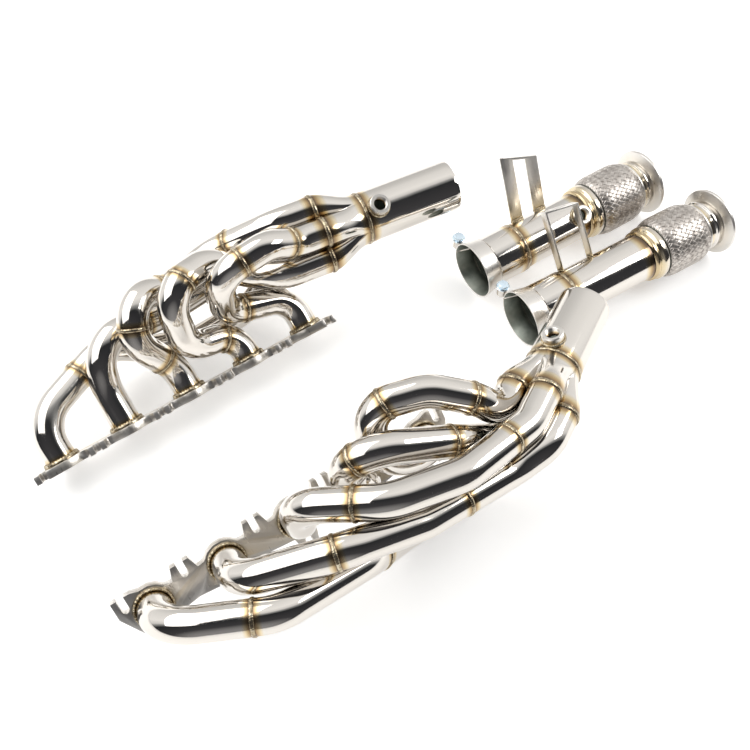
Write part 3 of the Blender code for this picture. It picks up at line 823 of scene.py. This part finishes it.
def makeSocket(link, axis, level, up):
    # sleeve that flares to its mouth, with one slot under the clamp bolt
    settings = socketSettings
    mouth, rear, length = settings["mouthOuter"] / 2, settings["rearOuter"] / 2, settings["length"]
    steps = 10
    profile = [(0.0, settings["mouthBore"] / 2)]
    profile += [(length * k / steps, mouth + (rear - mouth) * k / steps) for k in range(steps)]
    profile += [(length - 0.6, rear), (length, rear - 0.6), (length, settings["fit"] / 2),
                (settings["flare"], settings["fit"] / 2)]
    socket = lathePiece(f"{link['name']}_slip_socket_sleeve", link["inlet"], axis, profile, brushedStainless,
                        sides=128, bevel=0.4, boreMaterial=tubeBore)
    deselectAll()
    bpy.ops.mesh.primitive_cube_add(size=1.0)
    slot = bpy.context.object
    turn = Matrix((axis, level, up)).transposed().to_4x4()
    size = Matrix.Diagonal(((settings["slotLength"] + 10) * mm, 0.1, settings["slotWidth"] * mm, 1))
    middle = link["inlet"] + axis * (settings["slotLength"] / 2 - 5) + level * 50
    slot.matrix_world = Matrix.Translation(toWorld(middle)) @ turn @ size
    cutAway(socket, slot)
    paintHeat(socket, [(link["inlet"] + axis * length, axis, 1.0)])
    smoothPiece(socket)
    finishPiece(socket, [f"{link['name']}_slip_socket"])


def makePipe(link, axis, level, up):
    # expanded slip end behind the socket, then the plain pipe up to the coupling
    body, settings = link["name"], socketSettings
    outer = headerSettings["outlet"]
    wide, shoulder = settings["rearOuter"] / 2, settings["expandedEnd"] + settings["taper"]
    begin, end = settings["length"] + 0.2, link["pipeEnd"]
    profile = [(begin, settings["fit"] / 2), (begin, wide - 0.5), (begin + 0.5, wide)]
    profile += [(begin + (settings["expandedEnd"] - begin) * k / 10, wide) for k in range(1, 11)]
    profile += [(shoulder + (end - shoulder) * k / 26, outer / 2) for k in range(27)]
    profile += [(end, outer / 2 - 2), (shoulder, outer / 2 - 2)]
    profile += [(settings["expandedEnd"], settings["fit"] / 2)]
    pipe = lathePiece(f"{body}_pipe_tube", link["inlet"], axis, profile, polishedStainless,
                      sides=128, bevel=0, boreMaterial=tubeBore)
    seam = link["inlet"] + axis * (shoulder - 1.0)
    welds = [(seam, axis, 22.0), (link["inlet"] + axis * end, axis, 24.0)]
    if link["bung"]:
        along, angle = link["bung"]
        turn = math.radians(angle)
        outward = (level * math.cos(turn) + up * math.sin(turn)).normalized()
        foot = link["inlet"] + axis * along + outward * outer / 2
        cutAway(pipe, drill(foot, outward, 9.0, 30.0))
        makeBung(f"{body}_oxygen_sensor_bung", foot, outward, body)
    paintHeat(pipe, welds)
    smoothPiece(pipe)
    finishPiece(pipe, [f"{body}_pipe"])
    beads = [weldRing(seam, axis, outer / 2 + 0.5, width=3.4, depth=0.3)]
    finishPiece(joinPieces(f"{body}_pipe_welds", beads, weldBeadSteel), [], body=body)


def makeCollars(link, axis):
    body = link["name"]
    front = link["pipeEnd"]
    begin = front + collarSettings["length"]
    low, high = collarSettings["step"] / 2, collarSettings["outer"] / 2
    step = front + collarSettings["length"] * 0.45
    # rolled double ring that crimps the braid, straw-coloured from its weld
    profile = [(front + 0.3, 36.2), (front + 0.3, 38.6), (front + 1.6, low - 1.6), (front + 3.4, low - 0.2),
               (front + 5.6, low), (step - 3.6, low - 0.3), (step - 2.2, low - 1.5), (step - 1.2, low - 1.6),
               (step + 0.4, high - 2.2), (step + 2.4, high - 0.4), (step + 5.0, high),
               (begin - 4.4, high - 0.2), (begin - 2.2, high - 0.8), (begin - 0.1, high - 2.6),
               (begin - 0.1, 36.2)]
    collar = lathePiece(f"{body}_flex_front_collar_ring", link["inlet"], axis, profile, polishedStainless,
                        bevel=0.3)
    paintHeat(collar, [(link["inlet"] + axis * (front + 3), axis, 34.0)], peak=0.58)
    finishPiece(collar, [f"{body}_flex_front_collar"])
    rear = begin + braidSettings["length"] + 0.6
    neck = rear + collarSettings["rearLength"] - 0.6
    radius = collarSettings["rearOuter"] / 2
    profile = [(rear, 36.2), (rear, radius - 0.8), (rear + 1.2, radius), (rear + 4.0, radius - 0.2),
               (rear + 5.0, radius - 3.2), (neck - 0.8, radius - 3.6), (neck, 38.6), (neck, 36.2)]
    ring = lathePiece(f"{body}_flex_rear_collar_ring", link["inlet"], axis, profile, brushedStainless,
                      bevel=0.3)
    paintHeat(ring, [(link["inlet"] + axis * neck, axis, 12.0)], peak=0.36)
    finishPiece(ring, [f"{body}_flex_rear_collar"])
    total = (link["outlet"] - link["inlet"]).length
    flare = total - flareSettings["length"]
    middle = (neck + flare) / 2
    # the neck has one rolled ring at its middle
    profile = [(neck + 0.2, 36.1), (neck + 0.2, 38.1), (middle - 3.4, 38.1), (middle - 2.0, 40.6),
               (middle + 1.4, 40.8), (middle + 2.8, 38.1), (flare, 38.1), (flare, 36.1)]
    neckRing = lathePiece(f"{body}_outlet_neck_tube", link["inlet"], axis, profile, polishedStainless,
                          bevel=0.3)
    paintHeat(neckRing, [(link["inlet"] + axis * neck, axis, 14.0)], peak=0.5)
    finishPiece(neckRing, [f"{body}_outlet_neck"])
    outer = flareSettings["outer"] / 2
    # the flare's back is conical for its clamp, and its face has a shallow recess
    profile = [(flare, 36.1), (flare, 40.6), (flare + 1.4, 42.6), (flare + 4.6, outer - 1.4),
               (flare + 5.2, outer - 0.3), (flare + 6.0, outer), (total - 0.6, outer), (total, outer - 0.6),
               (total, 46.0), (total - 0.8, 45.0), (total - 0.8, 40.0), (total - 2.0, 37.6)]
    flange = lathePiece(f"{body}_outlet_flange_ring", link["inlet"], axis, profile, brushedStainless,
                        sides=144, bevel=0.3)
    paintHeat(flange, [(link["inlet"] + axis * (flare + 1), axis, 14.0)], peak=0.28)
    finishPiece(flange, [f"{body}_outlet_flange"])


def makeStrap(link, axis, level, up):
    # hanger loop with a small weld at each foot
    body, strap = link["name"], link["strap"]
    hoop = roundedCopy(f"{body}_hanger_strap", f"{body}_hanger_strap_hoop", brushedStainless, bevel=0.8)
    outward = (level * strap["foot"][0] + up * strap["foot"][1]).normalized()
    lean = (level * strap["lean"][0] + up * strap["lean"][1]).normalized()
    foot = link["inlet"] + axis * strap["at"] + outward * (headerSettings["outlet"] / 2 + strap["lift"])
    paintHeat(hoop, [(foot, lean, 12.0)], peak=0.5)
    finishPiece(hoop, [f"{body}_hanger_strap"])
    across = lean.cross(axis).normalized()
    beads = []
    for side in (-1, 1):
        place = foot + axis * side * strap["half"]
        bead = weldRing(Vector((0, 0, 0)) - layoutShift, Vector((0, 0, 1)), 6.5, width=2.4, pitch=2.4)
        plate = strap["leg"] > 5
        width = strap["leg"] / 2 + 1.5 if plate else 3.0
        depth = 3.0 if plate else 9.0
        shape = Matrix((axis * width / 8, across * depth / 8, lean)).transposed().to_4x4()
        bead.matrix_world = Matrix.Translation(toWorld(place)) @ shape
        applyPlace(bead)
        beads.append(bead)
    finishPiece(joinPieces(f"{body}_hanger_welds", beads, weldBeadSteel), [], body=body)


boltSettings = {"acrossCorners": 17.4, "headHeight": 5.0, "headMiddle": 13.0, "washer": 20.8, "shank": 8.0,
                "height": 7.0, "earOuter": 16.0, "earBore": 8.6, "earHalf": 9.0}


def makeClampBolt(link, axis, level, up):
    # flanged hex bolt standing in the round ear beside the socket's mouth
    body = link["name"]
    along, beside = link["clamp"]
    middle = link["inlet"] + axis * along + level * beside + up * boltSettings["height"]
    ear = lathePiece(f"{body}_clamp_ear_boss", middle, up,
                     ringProfile(-boltSettings["earHalf"], boltSettings["earHalf"],
                                 boltSettings["earOuter"], boltSettings["earBore"]),
                     brushedStainless, sides=48, bevel=0.8)
    paintHeat(ear, [(middle, level, 1.0)])
    finishPiece(ear, [f"{body}_clamp_ear"])
    deselectAll()
    bpy.ops.mesh.primitive_cylinder_add(vertices=6, radius=boltSettings["acrossCorners"] / 2 * mm,
                                        depth=boltSettings["headHeight"] * mm)
    head = bpy.context.object
    rounding = head.modifiers.new("edges", "BEVEL")
    rounding.width = 0.7 * mm
    rounding.segments = 3
    applyModifiers(head)
    head.matrix_world = (Matrix.Translation(toWorld(middle + up * boltSettings["headMiddle"]))
                         @ up.to_track_quat("Z", "Y").to_matrix().to_4x4())
    applyPlace(head)
    smoothPiece(head, 30)
    washer, shank = boltSettings["washer"] / 2, boltSettings["shank"] / 2
    profile = [(-14.0, 0.0), (-14.0, shank - 0.7), (-13.2, shank), (9.4, shank),
               (9.4, washer - 0.1), (10.6, washer), (11.6, washer - 1.4), (11.8, 0.0)]
    stem = lathePiece(f"{body}_bolt_shank", middle, up, profile, zincPlate, sides=48, bevel=0)
    bolt = joinPieces(f"{body}_clamp_bolt_hex", [stem, head], zincPlate)
    smoothPiece(bolt, 30)
    finishPiece(bolt, [f"{body}_clamp_bolt"])


for link in linkPipes:
    axis = (link["outlet"] - link["inlet"]).normalized()
    level, up = frameAbout(axis)
    makeSocket(link, axis, level, up)
    makePipe(link, axis, level, up)
    makeCollars(link, axis)
    makeBraid(link, axis, link["pipeEnd"] + collarSettings["length"])
    makeStrap(link, axis, level, up)
    makeClampBolt(link, axis, level, up)
    print(link["name"], "made")


stageSettings = {"floor": "#F4F3F1", "glow": 0.42, "keyPower": 34.0, "fillPower": 10.0}


def makeFloor():
    deselectAll()
    bpy.ops.mesh.primitive_plane_add(size=14.0, location=(0, 0, -0.0008))
    floor = bpy.context.object
    floor.name = "studio_floor"
    material, tree, shader = newMaterial("matteFloor")
    shader.inputs["Metallic"].default_value = 0.0
    shader.inputs["Base Color"].default_value = hexColour(stageSettings["floor"])
    shader.inputs["Roughness"].default_value = 0.75
    shader.inputs["Emission Color"].default_value = (1.0, 1.0, 1.0, 1.0)
    shader.inputs["Emission Strength"].default_value = stageSettings["glow"]
    floor.data.materials.append(material)


def makeRoom():
    # bright walls on the far side and a dark near side: polished tube needs both to read as polished
    world = bpy.data.worlds.new("studioRoom")
    bpy.context.scene.world = world
    world.use_nodes = True
    tree = world.node_tree
    background = tree.nodes["Background"]
    direction = addNode(tree, "ShaderNodeTexCoord")
    farward = addNode(tree, "ShaderNodeVectorMath", {"operation": "DOT_PRODUCT"},
                      {0: direction.outputs["Generated"], 1: (0.5, 0.866, 0.0)})
    spread = addNode(tree, "ShaderNodeMapRange", None, {"Value": farward.outputs["Value"], "From Min": -1.0})
    walls = addNode(tree, "ShaderNodeValToRGB", None, {"Fac": spread.outputs["Result"]})
    setRamp(walls, ((0.0, (0.34, 0.34, 0.35)), (0.14, (0.06, 0.06, 0.066)), (0.40, (0.028, 0.030, 0.034)),
                    (0.475, (0.42, 0.43, 0.44)), (0.51, (0.86, 0.86, 0.86)), (0.62, (1.15, 1.15, 1.15)),
                    (0.86, (1.0, 1.0, 1.0)), (1.0, (0.72, 0.72, 0.72))))
    tree.links.new(walls.outputs["Color"], background.inputs["Color"])
    background.inputs["Strength"].default_value = 1.0


def addSoftbox(name, location, target, size, power):
    bpy.ops.object.light_add(type="AREA", location=location)
    light = bpy.context.object
    light.name = name
    light.data.shape = "RECTANGLE"
    light.data.size, light.data.size_y = size
    light.data.energy = power
    light.rotation_euler = (Vector(target) - Vector(location)).to_track_quat("-Z", "Y").to_euler()


def makeCamera():
    yaw, pitch = math.radians(34), math.radians(60)
    forward = Vector((math.sin(yaw), math.cos(yaw), 0))
    look = forward * math.cos(pitch) + Vector((0, 0, -math.sin(pitch)))
    bpy.ops.object.camera_add(location=toWorld((106.0, -613.0, 1056.0)))
    camera = bpy.context.object
    camera.rotation_euler = look.to_track_quat("-Z", "Y").to_euler()
    camera.data.lens = 38.4
    camera.data.sensor_width = 36.0
    bpy.context.scene.camera = camera


makeFloor()
makeRoom()
addSoftbox("keySoftbox", (-0.9, 0.9, 1.7), (0, 0, 0), (2.6, 1.8), stageSettings["keyPower"])
addSoftbox("fillSoftbox", (1.3, -0.6, 1.3), (0, 0, 0), (0.7, 0.7), stageSettings["fillPower"])
makeCamera()
bpy.context.scene.view_settings.view_transform = "Standard"
print("stage made")

deselectAll()
